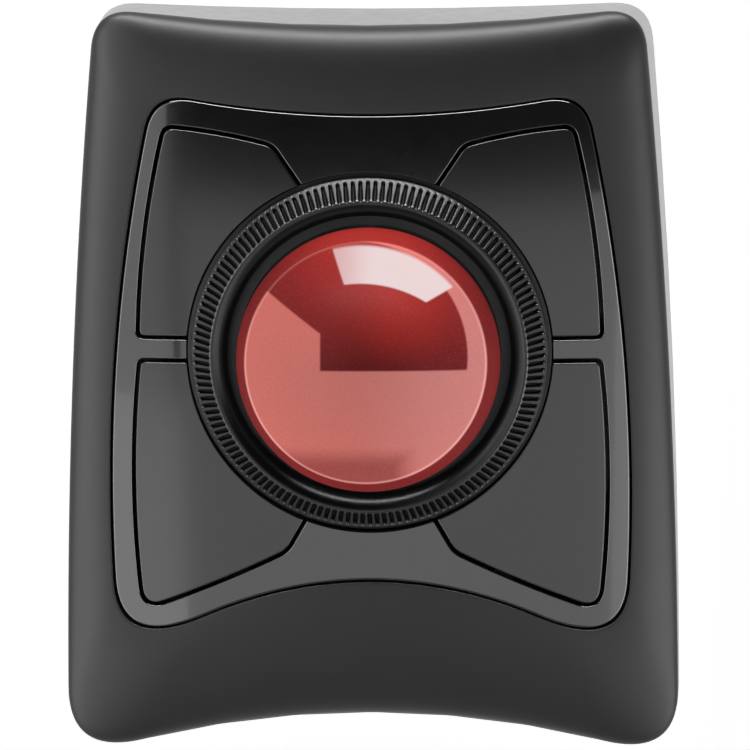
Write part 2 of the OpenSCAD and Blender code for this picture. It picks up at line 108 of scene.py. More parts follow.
# ------------------------------------------------------------------ curves and outlines
def unit(p):
    return p / np.linalg.norm(p)


def left_of(p):
    return np.array([-p[1], p[0]])


def bezier(a, c, b, t):
    t = np.asarray(t, float)[..., None]
    return (1 - t) ** 2 * a + 2 * t * (1 - t) * c + t * t * b


class Bow:
    """An edge from a to b that bows out to its left by h."""

    def __init__(self, a, b, h):
        self.a, self.b = np.array(a, float), np.array(b, float)
        self.c = (self.a + self.b) / 2 + 2 * h * left_of(unit(self.b - self.a))
        self.length = np.linalg.norm(self.b - self.a)

    def at(self, t):
        return bezier(self.a, self.c, self.b, t)


class Arc:
    """An edge from a to b along the circle around the deck's origin."""

    def __init__(self, a, b):
        self.r = np.linalg.norm(a)
        self.t0 = math.atan2(a[1], a[0])
        turn = math.atan2(b[1], b[0]) - self.t0
        self.turn = (turn + math.pi) % (2 * math.pi) - math.pi
        self.length = abs(self.turn) * self.r

    def at(self, t):
        s = self.t0 + self.turn * np.asarray(t, float)
        return self.r * np.stack([np.cos(s), np.sin(s)], -1)


def path(edges, cuts, per_edge, per_corner):
    """Closed outline along edges, with a smooth blend where each edge meets the next.
    cuts[i] is how far the corner at the start of edge i is cut back."""
    points = []
    n = len(edges)
    for i, e in enumerate(edges):
        f = edges[(i + 1) % n]
        cut = cuts[(i + 1) % n]
        t0, t1, t2 = cuts[i] / e.length, 1 - cut / e.length, cut / f.length
        count = per_edge if np.isscalar(per_edge) else per_edge[i]
        points.append(e.at(np.linspace(t0, t1, count)))
        p, q = e.at(t1), f.at(t2)
        dp, dq = unit(p - e.at(t1 - 1e-3)), unit(f.at(t2 + 1e-3) - q)
        k = np.linalg.solve(np.array([dp, -dq]).T, q - p)
        points.append(bezier(p, p + k[0] * dp, q, np.linspace(0, 1, per_corner + 1)[1:-1]))
    return np.vstack(points)


def polygon_path(corners, bows, cuts, per_edge, per_corner):
    n = len(corners)
    edges = [Bow(corners[i], corners[(i + 1) % n], bows[i]) for i in range(n)]
    return path(edges, cuts, per_edge, per_corner)


def case_outline(line, grow=0.0, per_edge=40, per_corner=18):
    """The outline that a line of case values describes, moved outwards by grow."""
    rear, rear_y, front, front_y, rear_bow, side_bow, front_bow, rear_cut, front_cut = line
    rear, front = rear + grow, front + grow
    rear_y, front_y = rear_y + grow, front_y - grow
    return polygon_path([(-rear, rear_y), (-front, front_y), (front, front_y), (rear, rear_y)],
                        [-side_bow, -front_bow, -side_bow, -rear_bow],
                        [rear_cut, front_cut, front_cut, rear_cut], per_edge, per_corner)


def inset(loop, d):
    """Moves a counter-clockwise loop inwards by d along its own normals."""
    e = np.roll(loop, -1, 0) - loop
    e /= np.linalg.norm(e, axis=1)[:, None]
    n = np.stack([-e[:, 1], e[:, 0]], 1)
    m = n + np.roll(n, 1, 0)
    m /= np.maximum((m * n).sum(1), 0.5 * np.linalg.norm(m, axis=1))[:, None]
    return loop + m * d


# ------------------------------------------------------------------ deck coordinates
def crown(u):
    """Height of the deck above its plane, u across from the middle: it falls to both sides."""
    return -np.asarray(u) ** 2 / (2 * CROWN_R)


def deck_point(u, v, w):
    """Deck coordinates to the frame: w leaves the deck at a right angle."""
    c, s = math.cos(DECK_TILT), math.sin(DECK_TILT)
    return np.stack(np.broadcast_arrays(
        u, DECK_POS[1] + v * c - w * s, DECK_POS[2] + v * s + w * c), -1)


def deck_normal(u, across, along, up):
    """Unit directions given as parts across, along and away from the crowned deck."""
    c, s = math.cos(DECK_TILT), math.sin(DECK_TILT)
    slope = np.asarray(u) / CROWN_R
    a = across + up * slope
    w = up - across * slope
    d = np.stack(np.broadcast_arrays(a, along * c - w * s, along * s + w * c), -1)
    return d / np.linalg.norm(d, axis=-1)[..., None]


def deck_z(x, y):
    """Height of the deck above the desk."""
    return (DECK_POS[2] + (y - DECK_POS[1]) * math.tan(DECK_TILT)
            + crown(x) / math.cos(DECK_TILT))


def rim_z(y):
    """Height of the split between the frame and the silver housing."""
    return RIM_MIDDLE + y * RIM_RISE


# ------------------------------------------------------------------ mesh helpers
def make_object(name, verts, faces, material):
    mesh = bpy.data.meshes.new(name)
    mesh.from_pydata((np.asarray(verts, float) * MM).tolist(), [], faces)
    mesh.validate()
    mesh.update()
    obj = bpy.data.objects.new(name, mesh)
    bpy.context.scene.collection.objects.link(obj)
    mesh.materials.append(material)
    mesh.shade_smooth()
    return obj


def ring_faces(rings, count, looped):
    """Quads between neighbouring rings of count points; looped joins the last to the first."""
    faces = []
    for r in range(rings if looped else rings - 1):
        a, b = r * count, ((r + 1) % rings) * count
        for i in range(count):
            j = (i + 1) % count
            faces.append((a + i, b + i, b + j, a + j))
    return faces


def sharpen(obj, degrees):
    """Smooth shading that breaks at edges sharper than the given angle."""
    obj.data.set_sharp_from_angle(angle=math.radians(degrees))
    return obj


def inside(points, loop):
    """Which points lie inside a loop, by counting the edges a ray from each one crosses."""
    x, y = points[:, 0], points[:, 1]
    hit = np.zeros(len(points), bool)
    a, b = loop, np.roll(loop, -1, 0)
    for (x0, y0), (x1, y1) in zip(a, b):
        if y0 != y1:
            crosses = (y0 > y) != (y1 > y)
            hit ^= crosses & (x < x0 + (y - y0) * (x1 - x0) / (y1 - y0))
    return hit


def signed_area(loop):
    a, b = loop, np.roll(loop, -1, 0)
    return 0.5 * float((a[:, 0] * b[:, 1] - a[:, 1] * b[:, 0]).sum())


def counter_clockwise(loop):
    return loop if signed_area(loop) > 0 else loop[::-1]


def fill(outer, holes, spacing):
    """Even triangles between an outer loop and its holes: the points, the faces, and how
    many of the points, which come first, are the loops' own."""
    loops = [outer] + holes
    boundary = np.vstack(loops)
    edges, start = [], 0
    for loop in loops:
        n = len(loop)
        edges += [(start + i, start + (i + 1) % n) for i in range(n)]
        start += n
    low, high = outer.min(0), outer.max(0)
    # rows of even triangles lie 0.866 of a side apart
    gx = np.arange(low[0] + spacing / 2, high[0], spacing)
    gy = np.arange(low[1] + spacing / 2, high[1], spacing * 0.866)
    grid = np.array([(x + (spacing / 2 if k % 2 else 0), y) for k, y in enumerate(gy) for x in gx])
    keep = inside(grid, outer)
    for hole in holes:
        keep &= ~inside(grid, hole)
    grid = grid[keep]
    near = np.array([np.min(((boundary - g) ** 2).sum(1)) for g in grid])
    grid = grid[near > (0.6 * spacing) ** 2]
    points = [Vector(p) for p in np.vstack([boundary, grid])]
    out, _, faces, _, _, _ = delaunay_2d_cdt(points, edges, [], 0, 1e-7)
    out = np.array([tuple(p) for p in out])
    faces = [tuple(f) for f in faces]
    mid = np.array([out[list(f)].mean(0) for f in faces])
    keep = inside(mid, outer)
    for hole in holes:
        keep &= ~inside(mid, hole)
    faces = [f if signed_area(out[list(f)]) > 0 else tuple(reversed(f))
             for f, k in zip(faces, keep) if k]
    return out, faces, len(boundary)


def plate(name, outer, holes, thickness, radii, material, height, spacing=2.0, steps=5):
    """A plate with rounded top edges. outer and holes are counter-clockwise loops in the
    deck's plane, radii are their edges' radii, and height(u) is the top face's height."""
    loops = [outer] + [h[::-1] for h in holes]
    turns = np.linspace(0, math.pi / 2, steps + 1)
    top_loops = [inset(loop, r) for loop, r in zip(loops, radii)]
    flat, faces, n_edge = fill(top_loops[0], [l[::-1] for l in top_loops[1:]], spacing)
    order = np.vstack([top_loops[0]] + [l[::-1] for l in top_loops[1:]])
    assert len(order) == n_edge and np.abs(flat[:n_edge] - order).max() < 1e-4
    verts = [deck_point(flat[:, 0], flat[:, 1], height(flat[:, 0]))]
    normals = [deck_normal(flat[:, 0], 0, 0, 1)]
    all_faces = list(faces)
    base = len(flat)
    start = 0
    bottoms = []
    for k, (loop, r) in enumerate(zip(loops, radii)):
        n = len(loop)
        rings = []
        profile = [(0.0, thickness)]
        profile += [(r * (1 - math.cos(a)), r * (1 - math.sin(a))) for a in turns]
        out = inset(loop, -1) - loop
        out /= np.linalg.norm(out, axis=1)[:, None]
        for (dx, drop), turn in zip(profile[:-1], [0, *turns[:-1]]):
            ring = inset(loop, dx)
            w = height(loop[:, 0]) - drop
            rings.append(deck_point(ring[:, 0], ring[:, 1], w))
            normals.append(deck_normal(loop[:, 0], out[:, 0] * math.cos(turn),
                                       out[:, 1] * math.cos(turn), math.sin(turn)))
        ids = [base + i * n + np.arange(n) for i in range(len(rings))]
        top = start + (np.arange(n) if k == 0 else np.arange(n)[::-1])
        ids.append(top)
        for a, b in zip(ids[:-1], ids[1:]):
            all_faces += [(a[i], a[(i + 1) % n], b[(i + 1) % n], b[i]) for i in range(n)]
        verts += rings
        bottoms.append(ids[0])
        base += n * len(rings)
        start += n
    under, under_faces, n_edge = fill(loops[0], [l[::-1] for l in loops[1:]], spacing * 2)
    w = height(under[:, 0]) - thickness
    ids = np.empty(len(under), int)
    ids[:n_edge] = np.concatenate([bottoms[0]] + [b[::-1] for b in bottoms[1:]])
    ids[n_edge:] = base + np.arange(len(under) - n_edge)
    verts.append(deck_point(under[n_edge:, 0], under[n_edge:, 1], w[n_edge:]))
    normals.append(deck_normal(under[n_edge:, 0], 0, 0, -1))
    all_faces += [tuple(ids[i] for i in reversed(f)) for f in under_faces]
    faces = [tuple(int(i) for i in f) for f in all_faces]
    obj = make_object(name, np.vstack(verts), faces, material)
    obj.data.normals_split_custom_set_from_vertices(np.vstack(normals).tolist())
    return obj


# ------------------------------------------------------------------ materials
class Nodes:
    """Small helper that builds a node tree: every material here starts from one."""

    def __init__(self, name):
        self.material = bpy.data.materials.new(name)
        self.material.use_nodes = True
        self.tree = self.material.node_tree
        self.bsdf = self.tree.nodes["Principled BSDF"]
        self.out = self.tree.nodes["Material Output"]
        self.where = self.add("ShaderNodeTexCoord").outputs["Object"]

    def add(self, kind, **settings):
        node = self.tree.nodes.new(kind)
        for key, value in settings.items():
            setattr(node, key, value)
        return node

    def put(self, value, socket):
        if isinstance(value, bpy.types.NodeSocket):
            self.tree.links.new(value, socket)
        elif isinstance(value, (tuple, list)) and len(value) == 3 and len(socket.default_value) == 4:
            socket.default_value = (*value, 1)
        else:
            socket.default_value = value

    def math(self, operation, a, b=0.0, c=0.0):
        node = self.add("ShaderNodeMath", operation=operation)
        for value, socket in zip((a, b, c), node.inputs):
            self.put(value, socket)
        return node.outputs[0]

    def noise(self, size_mm, detail):
        node = self.add("ShaderNodeTexNoise")
        self.put(self.where, node.inputs["Vector"])
        self.put(1 / (size_mm * MM), node.inputs["Scale"])
        self.put(detail, node.inputs["Detail"])
        return node.outputs["Fac"]

    def cells(self, size_mm):
        """Random colours, one for each cell."""
        node = self.add("ShaderNodeTexVoronoi")
        self.put(self.where, node.inputs["Vector"])
        self.put(1 / (size_mm * MM), node.inputs["Scale"])
        return node.outputs["Color"]

    def between(self, value, low, high, to_low=0.0, to_high=1.0, smooth=True):
        """Maps low to to_low and high to to_high, and holds the value outside them."""
        node = self.add("ShaderNodeMapRange")
        node.interpolation_type = "SMOOTHSTEP" if smooth else "LINEAR"
        for v, socket in zip((value, low, high, to_low, to_high), node.inputs):
            self.put(v, socket)
        return node.outputs[0]

    def mix(self, factor, a, b, blend="MIX"):
        """Blends colour a towards colour b; blend "ADD" adds factor times b to a. The
        node's sockets share names, so the ones for colours are picked by number."""
        node = self.add("ShaderNodeMix", data_type="RGBA", blend_type=blend)
        for value, socket in ((factor, 0), (a, 6), (b, 7)):
            self.put(value, node.inputs[socket])
        return node.outputs[2]

    def bump(self, height, depth_mm, strength=1.0):
        node = self.add("ShaderNodeBump")
        self.put(strength, node.inputs["Strength"])
        self.put(depth_mm * MM, node.inputs["Distance"])
        self.put(height, node.inputs["Height"])
        self.put(node.outputs[0], self.bsdf.inputs["Normal"])

    def set(self, **values):
        for key, value in values.items():
            self.put(value, self.bsdf.inputs[key.replace("_", " ")])


def shade(color, k):
    return tuple(c * k for c in color)


def plastic(name, color, rough, grain_mm=0.25, grain_depth=0.004, spread=0.12, coat=0.0,
            coat_rough=0.04, specular=0.5, uneven=0.08):
    """Moulded plastic: fine surface grain, slow colour drift and slightly uneven polish."""
    n = Nodes(name)
    drift = n.noise(14, 4)
    n.set(Base_Color=n.mix(n.between(drift, 0.35, 0.65), shade(color, 1 - spread),
                           shade(color, 1 + spread)))
    n.set(Roughness=n.between(n.noise(3, 5), 0.3, 0.7, rough * (1 - uneven), rough * (1 + uneven)))
    n.set(Specular_IOR_Level=specular, Coat_Weight=coat, Coat_Roughness=coat_rough)
    n.bump(n.noise(grain_mm, 2), grain_depth)
    return n


def ring_black():
    """Black plastic, shiny on the ribs, with painted shade in the slots between them and inside the
    ring.
    """
    n = plastic("ring_black", (0.011, 0.011, 0.0115), 0.3, 0.3, 0.003, 0.1)
    sunk = n.add("ShaderNodeAttribute", attribute_name="slot").outputs["Fac"]
    # painted shade: the reflection is turned down where the slot attribute is high, in the slots and
    # inside the ring
    n.set(Specular_IOR_Level=n.between(sunk, 0.1, 0.8, 0.6, 0.08))
    return n.material


def ball_red():
    """Fine metallic flakes held in red resin under a clear, polished skin, with a painted reflection
    of the studio on it.
    """
    n = Nodes("ball_red")
    split = n.add("ShaderNodeSeparateColor")
    n.put(n.cells(FLAKE), split.inputs[0])
    spark = n.between(split.outputs[0], 0.75, 1.0)
    drift = n.between(n.noise(9, 3), 0.35, 0.65)
    base = n.mix(drift, (0.33, 0.026, 0.027), (0.37, 0.029, 0.029))
    n.set(Base_Color=n.mix(spark, base, (0.55, 0.07, 0.055)))
    n.set(Metallic=0.0, Roughness=0.42, Specular_IOR_Level=0.03)
    n.bump(split.outputs[1], 0.02, 0.25)
    # painted reflection: the studio's shapes are given as light that only the camera sees
    n.set(Emission_Color=painted_skin_reflection(n, split.outputs[2]),
          Emission_Strength=n.add("ShaderNodeLightPath").outputs["Is Camera Ray"])
    return n.material


class Facing:
    """Straight edges and circles drawn on a sphere as the viewer sees it: (x, y) is where
    the surface's mirror direction falls, from -1 to 1 across the ball. Each shape is a
    node value, 1 inside and 0 outside."""

    def __init__(self, n, toward):
        self.n = n
        ray = n.add("ShaderNodeVectorMath", operation="ADD")
        n.put(n.add("ShaderNodeTexCoord").outputs["Reflection"], ray.inputs[0])
        ray.inputs[1].default_value = toward
        half = n.add("ShaderNodeVectorMath", operation="NORMALIZE")
        n.put(ray.outputs[0], half.inputs[0])
        xyz = n.add("ShaderNodeSeparateXYZ")
        n.put(half.outputs[0], xyz.inputs[0])
        self.x, self.y = xyz.outputs[0], xyz.outputs[1]

    def left_of(self, a, b, soft=0.01):
        """The side on the left of the line from a to b."""
        d = unit(np.array(b, float) - np.array(a, float))
        n = self.n
        along = n.math("MULTIPLY_ADD", self.x, float(-d[1]), float(d[1] * a[0] - d[0] * a[1]))
        return n.between(n.math("MULTIPLY_ADD", self.y, float(d[0]), along), -soft, soft)

    def distance(self, cx, cy):
        n = self.n
        dx, dy = n.math("SUBTRACT", self.x, cx), n.math("SUBTRACT", self.y, cy)
        return n.math("SQRT", n.math("ADD", n.math("MULTIPLY", dx, dx), n.math("MULTIPLY", dy, dy)))

    def disc(self, cx, cy, r, soft=0.01):
        return self.n.between(self.distance(cx, cy), r + soft, r - soft)

    def both(self, *parts):
        """Where all the parts overlap."""
        value = parts[0]
        for part in parts[1:]:
            value = self.n.math("MULTIPLY", value, part)
        return value

    def other(self, part):
        """Everything outside the part."""
        return self.n.math("SUBTRACT", 1.0, part)


def painted_skin_reflection(n, grain):
    """Painted reflection of the studio on the ball's clear skin, given as light: broad
    softboxes left, right and in front, a window shape above, and a dark gap between them."""
    at = Facing(n, (0.035, 0.035, 1.0))
    # painted sheen of the softboxes inside a circle, with a dark gap cut out of it
    dome = at.disc(*DOME)
    above_low = at.left_of((-0.8, GAP_LOW), (0.8, GAP_LOW))
    right_of_step = at.left_of((GAP_STEP, 0.5), (GAP_STEP, -0.5))
    above_shoulder = at.left_of((-0.9, GAP_SHOULDER), (0.9, GAP_SHOULDER))
    over_slant = at.left_of((-0.664, 0.4715), (GAP_STEP, GAP_SHOULDER))
    gap = at.both(above_low, n.math("MAXIMUM", right_of_step, at.both(above_shoulder, over_slant)),
                  at.disc(-0.1, 0.04, 0.87))
    fade = n.math("MAXIMUM", n.between(at.y, -0.8, -0.6, 0.35, 1.0), n.between(at.x, 0.05, 0.45))
    level = at.both(fade, n.between(grain, 0.0, 1.0, 0.9, 1.1, smooth=False))
    sheen = at.both(dome, at.other(gap), level)
    color = n.mix(n.between(at.x, -0.2, 0.9), (0.45, 0.145, 0.123), (0.47, 0.203, 0.187))
    # the sheen's painted pink, and a faint painted red glow outside it
    shown = n.mix(sheen, (0.05, 0.006, 0.007), color)
    # painted orange-red glow, rising towards the top and strongest near the window
    glow = n.math("MULTIPLY", n.between(at.y, -0.05, 0.95, smooth=False),
                  n.between(n.math("ABSOLUTE", at.x), 0.95, 0.1))
    near = at.disc(0.35, 0.45, 0.3, 0.3)
    shown = n.mix(n.math("MULTIPLY_ADD", near, 0.5, glow), shown, (0.27, 0.017, 0.012), "ADD")
    # painted pale highlight line along the sheen's rim, brightest at the bottom
    line = at.both(at.disc(*DOME, 0.006), at.other(at.disc(*DOME[:2], DOME[2] - 0.014, 0.008)))
    shown = n.mix(n.math("MULTIPLY", line, n.between(at.y, 0.7, -0.4, 0.35, 1.0)), shown,
                  (0.30, 0.20, 0.19), "ADD")
    # painted reflection of a bright window near the top
    window = at.both(at.other(at.disc(-0.027, -0.323, 0.92)),
                     at.left_of((0.46, 0.457), (0.629, 0.553)),
                     at.other(at.left_of((-0.153, 0.588), (-0.241, 0.822))),
                     at.disc(-0.03, -0.03, 0.905, 0.015))
    bright = n.mix(n.between(at.x, -0.25, 0.1), (0.60, 0.43, 0.43), (0.72, 0.66, 0.66))
    return n.mix(window, shown, bright)


def metal(name, color, rough):
    """Drawn or stamped metal with a fine grain and slight tarnish."""
    n = Nodes(name)
    n.set(Base_Color=n.mix(n.between(n.noise(4, 4), 0.4, 0.7), color, shade(color, 0.8)))
    n.set(Metallic=1.0, Roughness=n.between(n.noise(0.8, 4), 0.3, 0.7, rough * 0.8, rough * 1.3))
    n.bump(n.noise(0.3, 2), 0.004)
    return n.material


def board_green():
    """Solder mask over copper: straight traces show as lighter green lines."""
    n = Nodes("board_green")
    brick = n.add("ShaderNodeTexBrick")
    n.put(n.where, brick.inputs["Vector"])
    n.put(1 / (3.2 * MM), brick.inputs["Scale"])
    n.put(0.08, brick.inputs["Mortar Size"])
    n.put((0.02, 0.12, 0.055), brick.inputs["Color1"])
    n.put((0.02, 0.14, 0.06), brick.inputs["Color2"])
    n.put((0.06, 0.26, 0.11), brick.inputs["Mortar"])
    n.set(Base_Color=brick.outputs["Color"], Roughness=0.35)
    n.bump(n.noise(0.5, 3), 0.01)
    return n.material


def clear_lens():
    n = plastic("clear_lens", (0.9, 0.95, 1.0), 0.05, 1.0, 0.001, 0.02)
    n.set(Transmission_Weight=0.9, IOR=1.49)
    return n.material


def plain(*args, **kwargs):
    """The material of a plastic that needs no further nodes."""
    return plastic(*args, **kwargs).material


MATERIALS = {
    # a soft-touch coat with an even, very fine grain
    "matte_frame": plain("matte_frame", (0.034, 0.034, 0.0355), 0.42, 0.16, 0.006, 0.05,
                         specular=0.4, uneven=0.02),
    "silver_case": plain("silver_case", (0.225, 0.227, 0.233), 0.36, 0.2, 0.003, 0.03,
                         coat=0.25, coat_rough=0.2),
    # polished, with a barely wavy surface
    "gloss_black": plain("gloss_black", (0.032, 0.032, 0.0328), 0.09, 6.0, 0.004, 0.1,
                         coat=0.9, coat_rough=0.025, specular=0.6),
    "button_grey": plain("button_grey", (0.055, 0.054, 0.057), 0.1, 0.14, 0.0006, 0.05,
                         specular=0.7, uneven=0.04),
    "ring_black": ring_black(),
    "ball_red": ball_red(),
    "black_plastic": plain("black_plastic", (0.036, 0.036, 0.036), 0.55, 0.3, 0.006, specular=0.4),
    "white_plastic": plain("white_plastic", (0.75, 0.75, 0.73), 0.4, 0.3, 0.004),
    "board_green": board_green(),
    "steel": metal("steel", (0.6, 0.6, 0.62), 0.3),
    "bearing_steel": metal("bearing_steel", (0.75, 0.75, 0.77), 0.08),
    "clear_lens": clear_lens(),
    "cell_sleeve": plain("cell_sleeve", (0.05, 0.05, 0.055), 0.3, 0.5, 0.003, 0.2, coat=0.5),
    "rubber": plain("rubber", (0.022, 0.022, 0.022), 0.8, 0.4, 0.02),
}


SMOOTH_UP_TO = 30


def dress_nodes():
    """Gives every CAD node the material of its slot, and shades its facets smooth up to
    SMOOTH_UP_TO degrees: the modifiers join the facets, part them at sharp edges, and even
    out the normals by the facets' areas."""
    for part in frame["record"]["subparts"]:
        node = frame["nodes"][part["node"]]
        node.data.materials.clear()
        node.data.materials.append(MATERIALS[part["material_slot"]])
        weld = node.modifiers.new("join_facets", "WELD")
        weld.merge_threshold = 0.001 * MM
        split = node.modifiers.new("sharp_edges", "EDGE_SPLIT")
        split.split_angle = math.radians(SMOOTH_UP_TO)
        node.modifiers.new("even_normals", "WEIGHTED_NORMAL")


# ------------------------------------------------------------------ case
def settle(obj, body, node):
    """Hangs a piece on the empty of the body it rides on, and hides the node it stands for."""
    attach(obj, body)
    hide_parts(node)


EDGE_LIP = 0.45               # the frame's rounded edge beside the deck plate: its height
EDGE_REACH = 0.012            # and its width, in parts of the way from the deck to the rim
INSIDE_AT = (0.97, 0.9, 0.75, 0.6, 0.4, 0.25)    # the inner face's rings, in the same parts
SPLIT_BEVEL = 0.25
ROLL_STEPS = 43


def case_top():
    """The frame around the deck: rolls over from the deck plate to the split plane."""
    inner = case_outline(BEZEL_LINE, FRAME_GAP)
    outer = case_outline(RIM_LINE)
    bevelled = case_outline(RIM_LINE, -SPLIT_BEVEL)
    outer_in = case_outline(RIM_LINE, -WALL)
    edge = deck_point(inner[:, 0], inner[:, 1], crown(inner[:, 0]))

    def roll(rim, h, drop):
        """The ring a part h of the way from the deck's edge to the rim, lowered by drop."""
        xy = edge[:, :2] * (1 - h) + rim * h
        low = rim_z(rim[:, 1])
        high = deck_z(xy[:, 0], xy[:, 1])
        z = low + (high - low) * (1 - h ** ROLL) ** (1 / ROLL) - drop
        return np.column_stack([xy, z])

    rings = []
    for a in np.linspace(0, math.pi / 2, 6):
        rings.append(roll(outer, EDGE_REACH * (1 - math.cos(a)), EDGE_LIP * (1 - math.sin(a))))
    for t in np.linspace(0, math.pi / 2, ROLL_STEPS + 1)[:-1]:
        h = math.sin(t) ** (2 / ROLL)
        if h > EDGE_REACH * 1.5:
            rings.append(roll(outer, h, 0.0))
    rings.append(np.column_stack([outer, rim_z(outer[:, 1]) + SPLIT_BEVEL]))
    rings.append(np.column_stack([bevelled, rim_z(outer[:, 1])]))
    rings.append(np.column_stack([outer_in, rim_z(outer_in[:, 1])]))
    rings += [roll(outer_in, h, WALL) for h in INSIDE_AT]
    rings.append(deck_point(inner[:, 0], inner[:, 1], crown(inner[:, 0]) - WALL))
    obj = make_object("frame_cover", np.vstack(rings), ring_faces(len(rings), len(outer), True),
                      MATERIALS["matte_frame"])
    flip_out(obj)
    sharpen(obj, 40)
    settle(obj, "case", "top_shell")


def flip_out(obj):
    """Turns all faces of a closed mesh outwards."""
    bm = bmesh.new()
    bm.from_mesh(obj.data)
    bmesh.ops.recalc_face_normals(bm, faces=bm.faces)
    if bm.calc_volume(signed=True) < 0:
        bmesh.ops.reverse_faces(bm, faces=bm.faces)
    bm.to_mesh(obj.data)
    bm.free()


# ------------------------------------------------------------------ buttons and deck plate
# outlines of the left buttons on the deck: corners, each edge's bow, each corner's cut
UPPER_CORNERS = [(-42.2, 47.3), (-48.2, 3.5), (-30, 3.5), (-14, 34.2), (-20.3, 43.6)]
UPPER_BOWS = [-1.2, 0, 0, 0, -0.55]
UPPER_CUTS = [1.8, 1, 0.8, 0.8, 1.5]
LOWER_CORNERS = [(-48, -2.5), (-47.9, -55.2), (-18, -42.3), (-13.6, -34.6), (-30, -2.5)]
LOWER_BOWS = [-1.5, -0.5, 0, 0, 0]
LOWER_CUTS = [0.8, 4.2, 1.6, 0.8, 0.8]
PLATE_T = 5.2
PLATE_ROUNDS = (0.5, 0.25)    # edge radii: around the plate, and around its opening
CAP_T = 2.0
CAP_ROUNDS = (0.3,)
CAP_PROUD = 0.15
# under each left cap: the hinge pin as u, v from, v to, and the stem as u, v
PINS = {"upper": (-41.2, 12, 34), "lower": (-45.5, -40, -8)}
STEMS = {"upper": (-28, 38), "lower": (-30, -42)}
PIN_W = -6.4
PIN_R = 1.0
EYE_R = 1.4                   # the round end of an arm, around the pin
ARM_T = 2
ARM_DROP = 0.6
STEM_R = 1.6
STEM_BOTTOM = -6.85
INTO_CAP = 0.3                # how far arms and stem reach into the cap


def outside_circle(loop, r):
    """The part of a closed loop outside the circle, as one open run ending on the circle."""
    n = len(loop)
    out = np.linalg.norm(loop, axis=1) > r
    start = next(i for i in range(n) if out[i] and not out[i - 1])
    run = []
    i = start
    while out[i % n]:
        run.append(loop[i % n])
        i += 1

    def crossing(p, q):
        """Where the line from p, outside, to q, inside, meets the circle."""
        lo, hi = 0.0, 1.0
        for _ in range(40):
            mid = (lo + hi) / 2
            if np.linalg.norm(p + (q - p) * mid) > r:
                lo = mid
            else:
                hi = mid
        return p + (q - p) * lo

    first = crossing(loop[start % n], loop[start - 1])
    last = crossing(loop[(i - 1) % n], loop[i % n])
    return np.vstack([[first], run, [last]])


def arc_run(a, b, spacing=0.5):
    """Points along the ring's well from a to b, the short way round."""
    arc = Arc(a, b)
    return arc.at(np.linspace(0, 1, max(3, int(arc.length / spacing))))


def measured(run):
    """An open run without repeated points, and the length from its start to each point."""
    step = np.linalg.norm(np.diff(run, axis=0), axis=1)
    run = run[np.concatenate([[True], step > 1e-9])]
    return run, np.concatenate([[0], np.cumsum(np.linalg.norm(np.diff(run, axis=0), axis=1))])


def points_at(run, at, s):
    """Points of a measured run at the lengths s."""
    return np.column_stack([np.interp(s, at, run[:, k]) for k in (0, 1)])


def even(run, spacing):
    """Points at even steps along an open run."""
    run, at = measured(run)
    return points_at(run, at, np.linspace(0, at[-1], max(3, int(round(at[-1] / spacing)) + 1)))


def trim(run, cut):
    """The run without its first and last cut millimetres."""
    run, at = measured(run)
    kept = at[(at > cut + 0.02) & (at < at[-1] - cut - 0.02)]
    return points_at(run, at, np.concatenate([[cut], kept, [at[-1] - cut]]))


def join(runs, cut, spacing=0.35, per_corner=6):
    """One closed loop from runs that meet end to end, each meeting point rounded off."""
    points = []
    for k, run in enumerate(runs):
        body = trim(run, cut)
        follow = trim(runs[(k + 1) % len(runs)], cut)
        points.append(even(body, spacing))
        t = np.linspace(0, 1, per_corner + 1)[1:-1]
        points.append(bezier(body[-1], run[-1], follow[0], t))
    return np.vstack(points)


def button_run(corners, bows, cuts, grow):
    """A left button's outline where it isn't bounded by the ring's well, moved out by grow."""
    loop = inset(polygon_path(corners, bows, cuts, 24, 8), -grow)
    return outside_circle(loop, WELL_R)


def mirror_loop(loop):
    return (loop * [-1, 1])[::-1]


def button_loop(corners, bows, cuts):
    """The whole outline of a left button's cap."""
    run = button_run(corners, bows, cuts, CAP_GROW)
    return join([run, arc_run(run[-1], run[0])], 0.45)


def deck_hole():
    """The plate's one opening: four button cells joined through the ring's well."""
    left = [button_run(UPPER_CORNERS, UPPER_BOWS, UPPER_CUTS, BUTTON_GAP),
            button_run(LOWER_CORNERS, LOWER_BOWS, LOWER_CUTS, BUTTON_GAP)]
    right = [mirror_loop(left[1]), mirror_loop(left[0])]
    cells = left + right
    runs = []
    for k, cell in enumerate(cells):
        nxt = cells[(k + 1) % 4]
        runs.append(cell)
        runs.append(arc_run(cell[-1], nxt[0]))
    return join(runs, 0.4)


def deck_plate():
    outer = counter_clockwise(case_outline(BEZEL_LINE, 0.0, 70, 26))
    hole = counter_clockwise(deck_hole())
    obj = plate("deck_plate", outer, [hole], PLATE_T, PLATE_ROUNDS, MATERIALS["gloss_black"],
                crown)
    settle(obj, "case", "bezel")


def rod(start, end, radius, bevel=0.2, sides=40):
    """Rings of a round rod between two points in deck coordinates, its ends bevelled."""
    start, end = np.array(start, float), np.array(end, float)
    axis = unit(end - start)
    # crossed with any direction that no rod runs along
    across = unit(np.cross(axis, [0.31, 0.77, 0.55]))
    third = np.cross(axis, across)
    a = np.linspace(0, 2 * math.pi, sides + 1)[:-1, None]
    rings = []
    for at, r in ((start, radius - bevel), (start + axis * bevel, radius),
                  (end - axis * bevel, radius), (end, radius - bevel)):
        p = at + r * (np.cos(a) * across + np.sin(a) * third)
        rings.append(deck_point(p[:, 0], p[:, 1], p[:, 2]))
    return rings


def block(low, high, cut=0.3, bevel=0.2):
    """Rings of an upright block between two corners in deck coordinates."""
    (u0, v0, w0), (u1, v1, w1) = low, high
    rings = []
    for w, d in ((w0, bevel), (w0 + bevel, 0), (w1 - bevel, 0), (w1, bevel)):
        loop = polygon_path([(u0 + d, v0 + d), (u1 - d, v0 + d), (u1 - d, v1 - d), (u0 + d, v1 - d)],
                            [0] * 4, [cut] * 4, 3, 4)
        rings.append(deck_point(loop[:, 0], loop[:, 1], w))
    return rings


